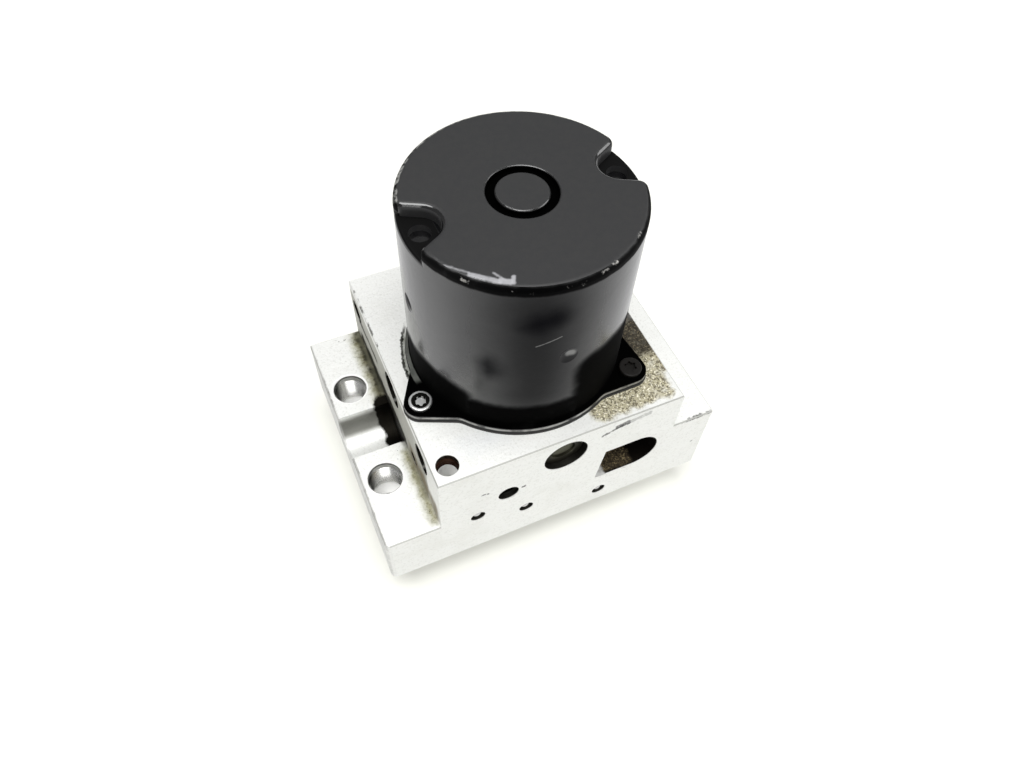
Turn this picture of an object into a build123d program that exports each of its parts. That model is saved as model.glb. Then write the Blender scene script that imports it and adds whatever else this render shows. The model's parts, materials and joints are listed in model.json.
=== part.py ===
"""Hydraulic unit of an anti-lock brake system: valve block, pump motor and everything they hold.

Millimetres, +Z up. The origin is the middle of the unit's footprint, level with the ends of the
valve domes that it stands on. "Left", "right", "front" and "rear" are -X, +X, -Y and +Y.
"""
import math
import os

from build123d import *

os.makedirs("parts", exist_ok=True)

# ---------------------------------------------------------------- fits and small clearances
slide_gap = 0.03          # radial, between a piston or plunger and its bore
seat_gap = 0.15           # between two pieces that nearly touch but must never rub
spring_gap = 0.1          # at each end of a coil spring
thread_gap = 0.05         # radial, round a screw's threaded shank
cut_over = 1.0            # how far a cutting tool runs past the face it starts from

# ---------------------------------------------------------------- valve block, outside
block_length = 125.0
block_depth = 91.5
block_height = 56.5
left_step_width = 19.6
left_step_height = 27.1
right_step_width = 16.8
right_step_height = 37.2
corner_bevel = 1.6        # the front left upright edge
edge_break = 0.4          # every other long edge

# ---------------------------------------------------------------- solenoid valves, under the block
dome_reach = 15.0         # from the block's underside to the dome's end, which the unit stands on
dome_diameter = 8.4
dome_wall = 0.5
dome_end_round = 1.6
valve_rows_apart = 34.0
valve_row_centre = 47.0   # from the front face
valve_pitch = 19.0
last_valve = 35.0         # from the right face
valves_per_row = 4
valve_flange_diameter = 12.0
valve_flange_thickness = 3.0
valve_recess = 0.5        # the flange sits this far inside the block
valve_barrel_diameter = 9.0
valve_depth = 20.0        # bore depth, from the underside
valve_stroke = 0.4
plunger_length = 8.6
pin_diameter = 2.2
valve_spring_pocket = 4.0     # depth of the pocket that holds the plunger spring
valve_spring_diameter = 4.0   # outside diameter of the coil
valve_spring_wire = 0.5
valve_spring_turns = 5
seat_chamber_diameter = 4.6
seat_chamber_depth = 7.0
core_length = 6.0         # solid end of an outlet valve's dome
valve_passage = 3.0       # diameter of the cross drillings

# ---------------------------------------------------------------- brake ports and fixing holes
port_setback = 8.3        # port axis from the left face
port_spacing = 40.8
port_diameter = 12.0      # M12
port_depth = 14.4
port_mouth = 0.5
port_passage = 3.0        # drilling from the middle of a port's flat seat
port_passage_depth = 4.0
wheel_port_setback = 14.0     # from the block's top, on the rear face
wheel_port_diameter = 10.0    # M10
wheel_port_places = [34.0, 50.0, 82.0, 98.0]      # from the left face
wheel_port_depth = 12.0
fixing_diameter = 7.6     # M8, cut to its pitch diameter
fixing_depth = 16.0
front_fixing_x = 44.3
front_fixing_z = 33.8
top_fixing_x = 25.2
top_fixing_y = 6.2
groove_radius = 8.9
groove_shift = 0.15       # groove centre behind the block's middle plane

# ---------------------------------------------------------------- slot in the front face
slot_left = 78.9
slot_right = 103.1
slot_bottom = 19.3
slot_top = 37.1
slot_depth = 14.0
slot_lean = 7.0           # degrees, how far the left wall leans
slot_bore_depth = 17.0

# ---------------------------------------------------------------- pump
motor_x = 64.2            # motor axis from the left face
motor_y = 42.8            # motor axis from the front face
pump_offset = 0.7         # the pump bores pass this far beside the motor axis
pump_height = 45.6        # pump axis above the underside
cam_bore_diameter = 24.0
cam_bore_floor = 33.0
pump_sleeve_diameter = 10.0
pump_sleeve_end = 2.0     # thickness of the sleeve's outlet end
pump_sleeve_start = 12.6  # from the motor axis
pump_sleeve_length = 23.0
piston_diameter = 6.6
piston_length = 16.0
piston_tip_round = 1.2
outlet_hole = 2.0
pump_spring_wire = 0.7
pump_spring_turns = 4
outlet_ball_diameter = 3.0
outlet_ball_lift = 0.5
pump_cap_diameter = 16.0
pump_cap_thickness = 2.6
front_cap_recess = 2.6
rear_cap_recess = 0.6
cap_chamber_diameter = 5.0
cap_dish_diameter = 9.0
cap_dish_depth = 0.8

# ---------------------------------------------------------------- eccentric and rotor
shaft_diameter = 8.0
eccentric_throw = 1.1
journal_diameter = 9.0
journal_length = 9.0
roller_diameter = 2.0
roller_count = 12
cam_ring_wall = 2.0
roller_inset = 0.5
core_stack_height = 26.0
core_slots = 12
slot_diameter = 7.6
slot_mouth = 2.4
slot_mouth_depth = 1.6
end_turn_height = 5.0
end_turn_width = 11.0
end_turn_round = 1.5
commutator_diameter = 20.0
commutator_length = 10.0
commutator_low = 6.0      # above the block's top
commutator_bars = 12
saw_width = 0.6
saw_depth = 1.2
rotor_gap = 1.2           # between the commutator and the end turns
shaft_end_gap = 1.0

# ---------------------------------------------------------------- motor can
can_diameter = 72.2
can_height = 69.3         # above the gasket's underside
can_wall = 2.0
can_end_wall = 2.6
can_end_round = 1.9
flange_lip = 1.3          # the flange round stands this far out of the can's side
flange_thickness = 2.6
ear_reach = 5.1           # from the can's side to the screw's axis
ear_radius = 5.5
ear_splay = 42.0          # degrees, each side of an ear against the ear's own line
ear_blend = 6.0
ear_first = -161.5        # degrees, the ear at the front left
ears = 3
gasket_thickness = 0.6
ring_groove_outer = 10.4
ring_groove_inner = 8.0
ring_groove_depth = 1.6
pocket_turn = 1.4         # degrees, line through both pockets against X
pocket_depth = 4.2
pocket_circle = 31.3      # centre of each pocket's round end, from the motor axis
pocket_radius = 6.3
pocket_flare = 28.0       # degrees, how fast each side opens outwards
pocket_lip = 3.0          # rounding where a pocket's side meets the can's side
pocket_wall = 3.2         # metal left under a pocket
pocket_hole_diameter = 6.6
pocket_hole_circle = 30.9
pocket_hole_depth = 2.2
stake_height = 37.4       # of the staked dimples above the block
stake_diameter = 6.4
stake_depth = 0.9
stakes = 4
flange_edge_round = 0.3
flange_root_round = 0.8
pocket_floor_round = 1.2
ring_groove_round = 0.7
gasket_margin = 0.3

# ---------------------------------------------------------------- magnets, bearings, brush gear
magnet_count = 4
magnet_span = 70.0        # degrees
magnet_thickness = 6.0
magnet_height = 32.0
magnet_low = 19.2
air_gap = 1.2
bush_diameter = 14.0
bush_length = 9.0
bearing_diameter = 22.0
bearing_width = 7.0
bearing_ball_diameter = 3.97
bearing_lip = 2.0
race_gap = 2.4            # from the ball circle's diameter to each race's
bearing_balls_count = 8
end_plate_thickness = 3.0
pilot_height = 6.0
pilot_lip = 1.0           # under the bearing
brush_width = 6.0
brush_height = 7.0
brush_length = 11.0
brush_wear = 3.0
brush_wall = 1.2
brush_spring_wire = 0.6
brush_spring_turns = 4
brush_spring_solid = 3.2  # room left for the closed spring
box_setback = 1.2         # brush box stands off the commutator
holder_thickness = 1.6
stem_short = 8.0          # stem ends this far above the block's underside
blade_short = 3.0
terminal_circle = 20.5
terminal_diameter = 8.6
terminal_blade = 1.0
terminal_width = 2.8
terminal_apart = 3.4
connector_diameter = 9.0

# ---------------------------------------------------------------- motor screws
screw_diameter = 5.0
screw_depth = 8.0
screw_head_diameter = 7.8
screw_head_height = 1.0
screw_head_round = 0.4
screw_clearance = 5.6
star_points = 6
star_across = 4.4
star_lobe = 0.55
star_depth = 2.0

# ---------------------------------------------------------------- low-pressure accumulators
accumulator_diameter = 18.0
accumulator_depth = 24.0
accumulator_height = 18.6     # axis above the underside
accumulator_first = 32.0      # from the front face
accumulator_pitch = 30.0
accumulator_stroke = 7.0
accumulator_cup = 9.0
accumulator_cup_wall = 2.0
accumulator_cover_diameter = 21.0
accumulator_cover_thickness = 2.5
accumulator_cover_recess = 0.6
accumulator_spring_wire = 1.4
accumulator_spring_turns = 6
vent_diameter = 2.0

# ---------------------------------------------------------------- seals and bore plugs
seal_section = 1.6
seal_room = 0.1           # radial and endways, between a seal and its groove
pump_seal_section = 1.0
ball_plug_diameter = 5.4
ball_seat_depth = ball_plug_diameter + 2 * edge_break
ball_passage_depth = 22.0
front_balls = [(33.1, 24.8), (51.7, 17.4), (82.0, 8.2)]   # from the left, up from the underside
rear_balls = [(33.1, 17.4), (90.0, 17.4)]
left_balls = [(13.6, 20.5)]                               # from the front, up
riser_plug_recess = 1.6
riser_plug_thickness = 4.0
riser_bores = [                                           # from the front, up, diameter, depth
    (block_depth / 2 + groove_shift, 47.6, 13.6, 24.0),
    (16.4, 47.4, 11.2, 11.0),
    (26.5, 31.4, 6.0, 9.0),
    (85.3, 45.6, 9.4, 6.0),
]

# ---------------------------------------------------------------- screw holes for the control unit
control_screw_diameter = 3.6  # M4, cut to its pitch diameter
control_screw_depth = 8.0
control_screw_inset = 6.0     # from the block's outer faces

# ---------------------------------------------------------------- datums worked out from the sizes
left = -block_length / 2
right = block_length / 2
front = -block_depth / 2
rear = block_depth / 2
under = dome_reach
top = under + block_height
motor_at = (left + motor_x, front + motor_y)
pump_x = motor_at[0] + pump_offset
pump_z = under + pump_height
riser = left + left_step_width
valve_places = [
    (right - last_valve - column * valve_pitch, front + valve_row_centre + side * valve_rows_apart / 2)
    for side in (-1, 1)
    for column in reversed(range(valves_per_row))
]
inlet_places = valve_places[:valves_per_row]
outlet_places = valve_places[valves_per_row:]
accumulator_places = [front + accumulator_first + i * accumulator_pitch for i in range(2)]
flange_diameter = can_diameter + 2 * flange_lip
ear_circle = can_diameter / 2 + ear_reach
ear_angles = [ear_first + i * 360 / ears for i in range(ears)]


# ---------------------------------------------------------------- simple turned and milled shapes
def upright(diameter, low, high, x=0.0, y=0.0):
    """Round bar along Z from low to high."""
    return Pos(x, y, (low + high) / 2) * Cylinder(diameter / 2, high - low)


def crossways(diameter, low, high, x, z):
    """Round bar along Y from low to high."""
    return Pos(x, (low + high) / 2, z) * Rot(90, 0, 0) * Cylinder(diameter / 2, high - low)


def lengthways(diameter, low, high, y, z):
    """Round bar along X from low to high."""
    return Pos((low + high) / 2, y, z) * Rot(0, 90, 0) * Cylinder(diameter / 2, high - low)


def slab(low, high):
    """Rectangular block between two opposite corners."""
    size = [b - a for a, b in zip(low, high)]
    middle = [(a + b) / 2 for a, b in zip(low, high)]
    return Pos(*middle) * Box(*size)


def ring(outer, inner, low, high):
    """Round tube along Z."""
    return upright(outer, low, high) - upright(inner, low - cut_over, high + cut_over)


def coil_spring(outside, wire, length, turns):
    """Coil spring standing on Z = 0, its ends within the stated length."""
    rise = length - wire
    path = Helix(rise / turns, rise, (outside - wire) / 2)
    section = Plane(origin=path @ 0, z_dir=path % 0) * Circle(wire / 2)
    return Pos(0, 0, wire / 2) * sweep(section, path=path, is_frenet=True)


def seal_ring(bore, section):
    """Rubber O-ring lying round Z at Z = 0, its inside diameter given."""
    profile = Pos((bore + section) / 2, 0, 0) * Rot(90, 0, 0) * Circle(section / 2)
    return revolve(profile, Axis.Z)


def group(solids):
    """Like pieces that share one node, each still its own solid."""
    return Compound(children=list(solids))


def keep(name, shape):
    export_step(shape, f"parts/{name}.step")


# places of the sub-assemblies, each built on its own Z axis
on_motor = Pos(motor_at[0], motor_at[1], top)
pump_sides = {
    "front": Pos(pump_x, motor_at[1], pump_z) * Rot(90, 0, 0),
    "rear": Pos(pump_x, motor_at[1], pump_z) * Rot(-90, 0, 0),
}
pump_faces = {"front": motor_y, "rear": block_depth - motor_y}
cap_recesses = {"front": front_cap_recess, "rear": rear_cap_recess}


def on_valve(place):
    return Pos(place[0], place[1], under)


def on_accumulator(y):
    """Z runs out of the block through its right face; Z = 0 is the bore's bottom."""
    return Pos(right - accumulator_depth, y, under + accumulator_height) * Rot(0, 90, 0)


# ---------------------------------------------------------------- valve block


def block_blank():
    """The milled billet: one long prism with a low left step and a higher right step."""
    left_step = under + left_step_height
    right_step = under + right_step_height
    corners = [
        (left, under),
        (right, under),
        (right, right_step),
        (right - right_step_width, right_step),
        (right - right_step_width, top),
        (riser, top),
        (riser, left_step),
        (left, left_step),
    ]
    outline = make_face(Polyline(*corners, close=True))
    prism = extrude(Plane(origin=(0, rear, 0), x_dir=(1, 0, 0), z_dir=(0, -1, 0)) * outline, block_depth)
    upright_corner = prism.edges().filter_by(Axis.Z).filter_by(
        lambda e: abs(e.center().X - left) < seat_gap and abs(e.center().Y - front) < seat_gap
    )
    prism = chamfer(upright_corner, corner_bevel)
    inside_corners = [(riser, left_step), (right - right_step_width, right_step)]

    def stands_out(edge):
        at = edge.center()
        on_bevel = at.X < left + corner_bevel + seat_gap and at.Y < front + corner_bevel + seat_gap
        in_corner = any(abs(at.X - x) < seat_gap and abs(at.Z - z) < seat_gap for x, z in inside_corners)
        on_riser_end = any(
            abs(at.X - x) < seat_gap and z < at.Z for x, z in inside_corners
        ) and at.Z < top - seat_gap
        return not (on_bevel or in_corner or on_riser_end)

    long_edges = prism.edges().filter_by(stands_out).filter_by(
        lambda e: e.length > left_step_width / 2
    )
    return chamfer(long_edges, edge_break)


def slot_tool():
    """The slot in the front face: leaning left wall, one round end, and a bore at that end."""
    half = (slot_top - slot_bottom) / 2
    lean = (slot_top - slot_bottom) * math.tan(math.radians(slot_lean))
    low = under + slot_bottom
    high = under + slot_top
    round_x = left + slot_right - half
    corners = [(left + slot_left, low), (round_x, low), (round_x, high), (left + slot_left + lean, high)]
    outline = make_face(Polyline(*corners, close=True))
    mouth = Plane(origin=(0, front - cut_over, 0), x_dir=(1, 0, 0), z_dir=(0, -1, 0)) * outline
    flat_part = extrude(mouth, -(slot_depth + cut_over))
    round_part = crossways(2 * half, front - cut_over, front + slot_depth, round_x, (low + high) / 2)
    bore = crossways(2 * half - edge_break, front, front + slot_bore_depth, round_x, (low + high) / 2)
    return flat_part + round_part + bore


def port_tool(y):
    x = left + port_setback
    face = under + left_step_height
    thread = upright(port_diameter, face - port_depth, face + cut_over, x, y)
    mouth = Pos(x, y, face - port_mouth / 2) * Cone(
        port_diameter / 2, port_diameter / 2 + port_mouth, port_mouth
    )
    passage = upright(port_passage, face - port_depth - port_passage_depth, face, x, y)
    return thread + mouth + passage


def pump_tool(side):
    face = pump_faces[side]
    seat = face - cap_recesses[side] - pump_cap_thickness
    bore = upright(pump_sleeve_diameter, 0, face) + upright(pump_cap_diameter, seat, face + cut_over)
    return pump_sides[side] * bore


def valve_tool():
    flange_depth = valve_recess + valve_flange_thickness
    flange_bore = upright(valve_flange_diameter, -cut_over, flange_depth)
    return flange_bore + upright(valve_barrel_diameter, 0, valve_depth)


accumulator_seat = accumulator_depth - accumulator_cover_recess - accumulator_cover_thickness
accumulator_seal_at = accumulator_stroke + seal_section


def accumulator_tool():
    groove_outer = accumulator_diameter + 2 * (seal_section + seal_room)
    groove_half = seal_section / 2 + seal_room
    bore = upright(accumulator_diameter, 0, accumulator_depth)
    bore += upright(accumulator_cover_diameter, accumulator_seat, accumulator_depth + cut_over)
    bore += upright(groove_outer, accumulator_seal_at - groove_half, accumulator_seal_at + groove_half)
    return bore + upright(valve_passage, -valve_barrel_diameter, 0)


def make_valve_block():
    """Aluminium billet, drilled from every side, then plugged where a drilling is only a passage."""
    cuts = [slot_tool()]
    middle = (front + rear) / 2
    cuts += [port_tool(middle + side * port_spacing / 2) for side in (-1, 1)]
    cuts.append(
        lengthways(2 * groove_radius, left - cut_over, riser, middle + groove_shift, under + left_step_height)
    )
    cuts.append(
        upright(
            fixing_diameter, top - fixing_depth, top + cut_over, left + top_fixing_x, front + top_fixing_y
        )
    )
    cuts.append(
        crossways(
            fixing_diameter, front - cut_over, front + fixing_depth, left + front_fixing_x,
            under + front_fixing_z
        )
    )
    for x in wheel_port_places:
        height = top - wheel_port_setback
        cuts.append(
            crossways(wheel_port_diameter, rear - wheel_port_depth, rear + cut_over, left + x, height)
        )
    cuts += [pump_tool(side) for side in pump_sides]
    cam_floor = under + cam_bore_floor
    cuts.append(upright(cam_bore_diameter, cam_floor, top + cut_over, *motor_at))
    cuts.append(
        upright(
            connector_diameter, under - cut_over, top + cut_over, motor_at[0] + terminal_circle, motor_at[1]
        )
    )
    screw_hole = upright(screw_diameter + 2 * thread_gap, -screw_depth - edge_break, cut_over)
    cuts += [on_motor * Rot(0, 0, angle) * Pos(ear_circle, 0, 0) * screw_hole for angle in ear_angles]
    cuts += [on_valve(place) * valve_tool() for place in valve_places]
    cuts += [on_accumulator(y) * accumulator_tool() for y in accumulator_places]
    for y, z, diameter, depth in riser_bores:
        cuts.append(lengthways(diameter, riser - cut_over, riser + depth, front + y, under + z))
    for x, z in front_balls:
        cuts.append(
            crossways(ball_plug_diameter, front - cut_over, front + ball_seat_depth, left + x, under + z)
        )
        cuts.append(crossways(valve_passage, front, front + ball_passage_depth, left + x, under + z))
    for x, z in rear_balls:
        cuts.append(
            crossways(ball_plug_diameter, rear - ball_seat_depth, rear + cut_over, left + x, under + z)
        )
        cuts.append(crossways(valve_passage, rear - ball_passage_depth, rear, left + x, under + z))
    for y, z in left_balls:
        cuts.append(
            lengthways(ball_plug_diameter, left - cut_over, left + ball_seat_depth, front + y, under + z)
        )
        cuts.append(lengthways(valve_passage, left, left + ball_passage_depth, front + y, under + z))
    for x in (left + control_screw_inset, right - control_screw_inset):
        for y in (front + control_screw_inset, rear - control_screw_inset):
            cuts.append(upright(control_screw_diameter, under - cut_over, under + control_screw_depth, x, y))
    return block_blank() - cuts


keep("valve_block", make_valve_block())


# ---------------------------------------------------------------- bore plugs
def make_bore_plugs():
    """Steel balls and discs pressed into the ends of the drillings."""
    ball = Sphere(ball_plug_diameter / 2 - slide_gap)
    sunk = ball_plug_diameter / 2 + edge_break
    plugs = [Pos(left + x, front + sunk, under + z) * ball for x, z in front_balls]
    plugs += [Pos(left + x, rear - sunk, under + z) * ball for x, z in rear_balls]
    plugs += [Pos(left + sunk, front + y, under + z) * ball for y, z in left_balls]
    for y, z, diameter, _ in riser_bores:
        start = riser + riser_plug_recess
        plugs.append(
            lengthways(diameter - 2 * slide_gap, start, start + riser_plug_thickness, front + y, under + z)
        )
    return group(plugs)


keep("bore_plugs", make_bore_plugs())

# ---------------------------------------------------------------- pump elements, on the pump axis
cam_ring_bore = journal_diameter + 2 * roller_diameter + 4 * slide_gap
cam_ring_diameter = cam_ring_bore + 2 * cam_ring_wall
piston_start = cam_ring_diameter / 2 + eccentric_throw + seat_gap
piston_end = piston_start + piston_length
sleeve_end = pump_sleeve_start + pump_sleeve_length
pump_seal_at = pump_sleeve_start + pump_sleeve_length / 2
ball_seat_height = math.sqrt(outlet_ball_diameter**2 - outlet_hole**2) / 2


def make_pump_sleeve():
    """Hardened sleeve, closed at its outer end by the outlet seat, with a seal groove outside."""
    bore = piston_diameter + 2 * slide_gap
    groove_half = pump_seal_section / 2 + seal_room
    body = upright(pump_sleeve_diameter, pump_sleeve_start, sleeve_end)
    body -= upright(bore, pump_sleeve_start - cut_over, sleeve_end - pump_sleeve_end)
    body -= upright(outlet_hole, pump_sleeve_start, sleeve_end + cut_over)
    groove = ring(
        pump_sleeve_diameter + cut_over,
        pump_sleeve_diameter - 2 * (pump_seal_section + seal_room),
        pump_seal_at - groove_half,
        pump_seal_at + groove_half,
    )
    return body - groove


def make_pump_piston():
    """Ground piston with a rounded tip that runs on the eccentric ring."""
    body = upright(piston_diameter, piston_start, piston_end)
    tail = body.edges().filter_by(GeomType.CIRCLE).sort_by(Axis.Z)[-1]
    body = chamfer(tail, edge_break)
    tip = body.edges().filter_by(GeomType.CIRCLE).sort_by(Axis.Z)[0]
    return fillet(tip, piston_tip_round)


def make_pump_spring():
    low = piston_end + spring_gap
    high = sleeve_end - pump_sleeve_end - spring_gap
    outside = piston_diameter - 2 * spring_gap
    return Pos(0, 0, low) * coil_spring(outside, pump_spring_wire, high - low, pump_spring_turns)


def make_outlet_ball():
    return Pos(0, 0, sleeve_end + ball_seat_height + slide_gap) * Sphere(outlet_ball_diameter / 2)


def make_pump_cap(side):
    """Pressed and staked closing cap: a disc with a spigot that holds the outlet ball's chamber."""
    outer = pump_faces[side] - cap_recesses[side]
    inner = outer - pump_cap_thickness
    chamber_end = sleeve_end + outlet_ball_diameter + outlet_ball_lift + slide_gap
    body = upright(pump_cap_diameter - 2 * slide_gap, inner, outer)
    body += upright(pump_sleeve_diameter - 2 * slide_gap, sleeve_end, inner)
    body -= upright(cap_chamber_diameter, sleeve_end - cut_over, chamber_end)
    rim = body.edges().filter_by(GeomType.CIRCLE).sort_by(Axis.Z)[-1]
    body = chamfer(rim, edge_break)
    return body - upright(cap_dish_diameter, outer - cap_dish_depth, outer + cut_over)


for side, place in pump_sides.items():
    keep(f"pump_sleeve_{side}", place * make_pump_sleeve())
    keep(f"pump_piston_{side}", place * make_pump_piston())
    keep(f"pump_spring_{side}", place * make_pump_spring())
    keep(f"outlet_ball_{side}", place * make_outlet_ball())
pump_seal_bore = pump_sleeve_diameter - 2 * pump_seal_section
keep(
    "pump_seals",
    group(
        place * Pos(0, 0, pump_seal_at) * seal_ring(pump_seal_bore, pump_seal_section)
        for place in pump_sides.values()
    ),
)
keep("pump_caps", group(place * make_pump_cap(side) for side, place in pump_sides.items()))


# ---------------------------------------------------------------- low-pressure accumulators
def make_accumulator_piston():
    """Cup, open towards the cover, that the spring pushes to the bottom of its bore."""
    outside = accumulator_diameter - 2 * slide_gap
    body = upright(outside, seat_gap, seat_gap + accumulator_cup)
    hollow = upright(
        outside - 2 * accumulator_cup_wall, seat_gap + accumulator_cup_wall, accumulator_cup + cut_over
    )
    return body - hollow


def make_accumulator_spring():
    low = seat_gap + accumulator_cup_wall + spring_gap
    outside = accumulator_diameter - 2 * (accumulator_cup_wall + slide_gap + spring_gap)
    length = accumulator_seat - spring_gap - low
    return Pos(0, 0, low) * coil_spring(
        outside, accumulator_spring_wire, length, accumulator_spring_turns
    )


def make_accumulator_cover():
    low = accumulator_seat
    high = low + accumulator_cover_thickness
    body = upright(accumulator_cover_diameter - 2 * slide_gap, low, high)
    rim = body.edges().filter_by(GeomType.CIRCLE).sort_by(Axis.Z)[-1]
    return chamfer(rim, edge_break) - upright(vent_diameter, low - cut_over, high + cut_over)


for name, y in zip(("front", "rear"), accumulator_places):
    keep(f"accumulator_piston_{name}", on_accumulator(y) * make_accumulator_piston())
    keep(f"accumulator_spring_{name}", on_accumulator(y) * make_accumulator_spring())
keep("accumulator_covers", group(on_accumulator(y) * make_accumulator_cover() for y in accumulator_places))
accumulator_seal = seal_ring(accumulator_diameter, seal_section)
keep(
    "accumulator_seals",
    group(on_accumulator(y) * Pos(0, 0, accumulator_seal_at) * accumulator_seal for y in accumulator_places),
)

# ---------------------------------------------------------------- solenoid valves
dome_inside = dome_diameter - 2 * dome_wall
plunger_diameter = dome_inside - 2 * slide_gap
flange_low = valve_recess
flange_high = valve_recess + valve_flange_thickness
inlet_plunger_low = -dome_reach + dome_wall + seat_gap
inlet_nose = inlet_plunger_low + plunger_length + valve_stroke + seat_gap
outlet_core_top = -dome_reach + core_length
outlet_plunger_low = outlet_core_top + valve_stroke + seat_gap
spring_pocket_diameter = valve_spring_diameter + 2 * spring_gap


def make_valve_body(nose):
    """Turned seat body pressed and crimped into the block, with the pin's guide through it."""
    body = upright(valve_flange_diameter, flange_low, flange_high)
    body += upright(valve_barrel_diameter, flange_high, valve_depth - seat_gap)
    if nose < flange_low:
        body += upright(dome_inside, nose, flange_low)
        body -= upright(spring_pocket_diameter, nose - cut_over, nose + valve_spring_pocket)
    body -= upright(pin_diameter + 2 * slide_gap, nose - cut_over, valve_depth)
    return body - upright(seat_chamber_diameter, valve_depth - seat_chamber_depth, valve_depth)


def make_dome(floor):
    """Thin welded tube that closes the valve; an outlet valve's dome has a solid core at its end."""
    body = upright(dome_diameter, -dome_reach, flange_low)
    body = fillet(body.edges().filter_by(GeomType.CIRCLE).sort_by(Axis.Z)[0], dome_end_round)
    return body - upright(dome_inside, floor, flange_low + cut_over)


def make_plunger(low, pocket):
    """Magnetic plunger with its closing pin; an outlet plunger has its spring pocket underneath."""
    body = upright(plunger_diameter, low, low + plunger_length)
    rim = body.edges().filter_by(GeomType.CIRCLE).sort_by(Axis.Z)[0]
    if not pocket:
        body = fillet(rim, dome_end_round)
    body += upright(pin_diameter, low + plunger_length, pin_end)
    if pocket:
        body -= upright(spring_pocket_diameter, low - cut_over, low + valve_spring_pocket)
    return body


def make_valve_spring(low, high):
    length = high - low - 2 * spring_gap
    coil = coil_spring(valve_spring_diameter, valve_spring_wire, length, valve_spring_turns)
    return Pos(0, 0, low + spring_gap) * coil


pin_end = valve_depth - seat_chamber_depth + seat_chamber_diameter / 2
keep("inlet_valve_bodies", group(on_valve(at) * make_valve_body(inlet_nose) for at in inlet_places))
keep("outlet_valve_bodies", group(on_valve(at) * make_valve_body(flange_low) for at in outlet_places))
keep("inlet_valve_domes", group(on_valve(at) * make_dome(-dome_reach + dome_wall) for at in inlet_places))
keep("outlet_valve_domes", group(on_valve(at) * make_dome(outlet_core_top) for at in outlet_places))
for number, place in enumerate(inlet_places, start=1):
    spring_low = inlet_plunger_low + plunger_length
    keep(f"inlet_plunger_{number}", on_valve(place) * make_plunger(inlet_plunger_low, False))
    keep(
        f"inlet_spring_{number}",
        on_valve(place) * make_valve_spring(spring_low, inlet_nose + valve_spring_pocket),
    )
for number, place in enumerate(outlet_places, start=1):
    spring_high = outlet_plunger_low + valve_spring_pocket
    keep(f"outlet_plunger_{number}", on_valve(place) * make_plunger(outlet_plunger_low, True))
    keep(f"outlet_spring_{number}", on_valve(place) * make_valve_spring(outlet_core_top, spring_high))

# ---------------------------------------------------------------- motor shell, on the motor axis
can_inside = can_diameter - 2 * can_wall
can_inner_top = can_height - can_end_wall
flange_top = gasket_thickness + flange_thickness
pocket_floor = can_height - pocket_depth
pocket_lines = [pocket_turn + half_turn for half_turn in (0, 180)]
stake_turns = [Rot(0, 0, i * 360 / stakes) for i in range(stakes)]


def flange_outline():
    """Round flange with its screw ears, each ear spreading into the round."""
    outline = Circle(flange_diameter / 2)
    splay = math.radians(ear_splay)
    touch = Vector(ear_circle + ear_radius * math.sin(splay), ear_radius * math.cos(splay))
    root = touch + Vector(-math.cos(splay), math.sin(splay)) * (flange_diameter / 3)
    web = make_face(
        Polyline((touch.X, touch.Y), (root.X, root.Y), (root.X, -root.Y), (touch.X, -touch.Y), close=True)
    )
    for angle in ear_angles:
        outline += Rot(0, 0, angle) * (web + Pos(ear_circle, 0) * Circle(ear_radius))
    hollows = [
        v for v in outline.vertices() if Vector(v.X, v.Y).length < flange_diameter / 2 + seat_gap
    ]
    return fillet(hollows, ear_blend)


def pocket_outline(extra=0.0):
    """Fan-shaped pocket, open to the can's side, its round end towards the middle."""
    radius = pocket_radius + extra
    flare = math.radians(pocket_flare)
    reach = can_diameter / 2
    touch = (pocket_circle - radius * math.sin(flare), radius * math.cos(flare))
    spread = touch[1] + (reach - touch[0]) * math.tan(flare)
    fan = make_face(
        Polyline(touch, (reach, spread), (reach, -spread), (touch[0], -touch[1]), close=True)
    )
    return fan + Pos(pocket_circle, 0) * Circle(radius)


def can_crown():
    """The upper storey of the can, which the two pockets cut into."""
    outline = Circle(can_diameter / 2)
    for line in pocket_lines:
        outline -= Rot(0, 0, line) * pocket_outline()
    lips = [v for v in outline.vertices() if Vector(v.X, v.Y).length > can_diameter / 2 - seat_gap]
    outline = fillet(lips, pocket_lip)
    low = pocket_floor - can_end_wall
    crown = extrude(Pos(0, 0, low) * outline, can_height - low)
    return fillet(crown.edges().group_by(Axis.Z)[-1], can_end_round)


def can_shell():
    """The can's outside as one solid: flange, side and crown."""
    flange = extrude(Pos(0, 0, gasket_thickness) * flange_outline(), flange_thickness)
    body = fillet(flange.edges().group_by(Axis.Z)[-1], flange_edge_round)
    body += upright(can_diameter, gasket_thickness, pocket_floor)
    foot = body.edges().filter_by(GeomType.CIRCLE).filter_by(
        lambda e: abs(e.radius - can_diameter / 2) < seat_gap and abs(e.center().Z - flange_top) < seat_gap
    )
    body = fillet(foot, flange_root_round)
    body = fillet(body.edges().group_by(Axis.Z)[-1], pocket_floor_round)
    return body + can_crown()


def can_hollow():
    """The room inside the can, less the bulges of the pockets, the stakes and the bush's collar."""
    hollow = upright(can_inside, -cut_over, can_inner_top)
    for line in pocket_lines:
        bulge = Pos(0, 0, pocket_floor - pocket_wall) * pocket_outline(can_wall)
        hollow -= Rot(0, 0, line) * extrude(bulge, pocket_wall + pocket_depth)
    collar = bush_diameter + 2 * can_wall
    hollow -= ring(collar, bush_diameter, can_inner_top - bush_length, can_inner_top + cut_over)
    bump = Rot(0, 90, 0) * Cylinder(stake_diameter / 2 - edge_break, 2 * stake_depth)
    for turn in stake_turns:
        hollow -= turn * Pos(can_inside / 2, 0, stake_height) * bump
    return hollow


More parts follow.
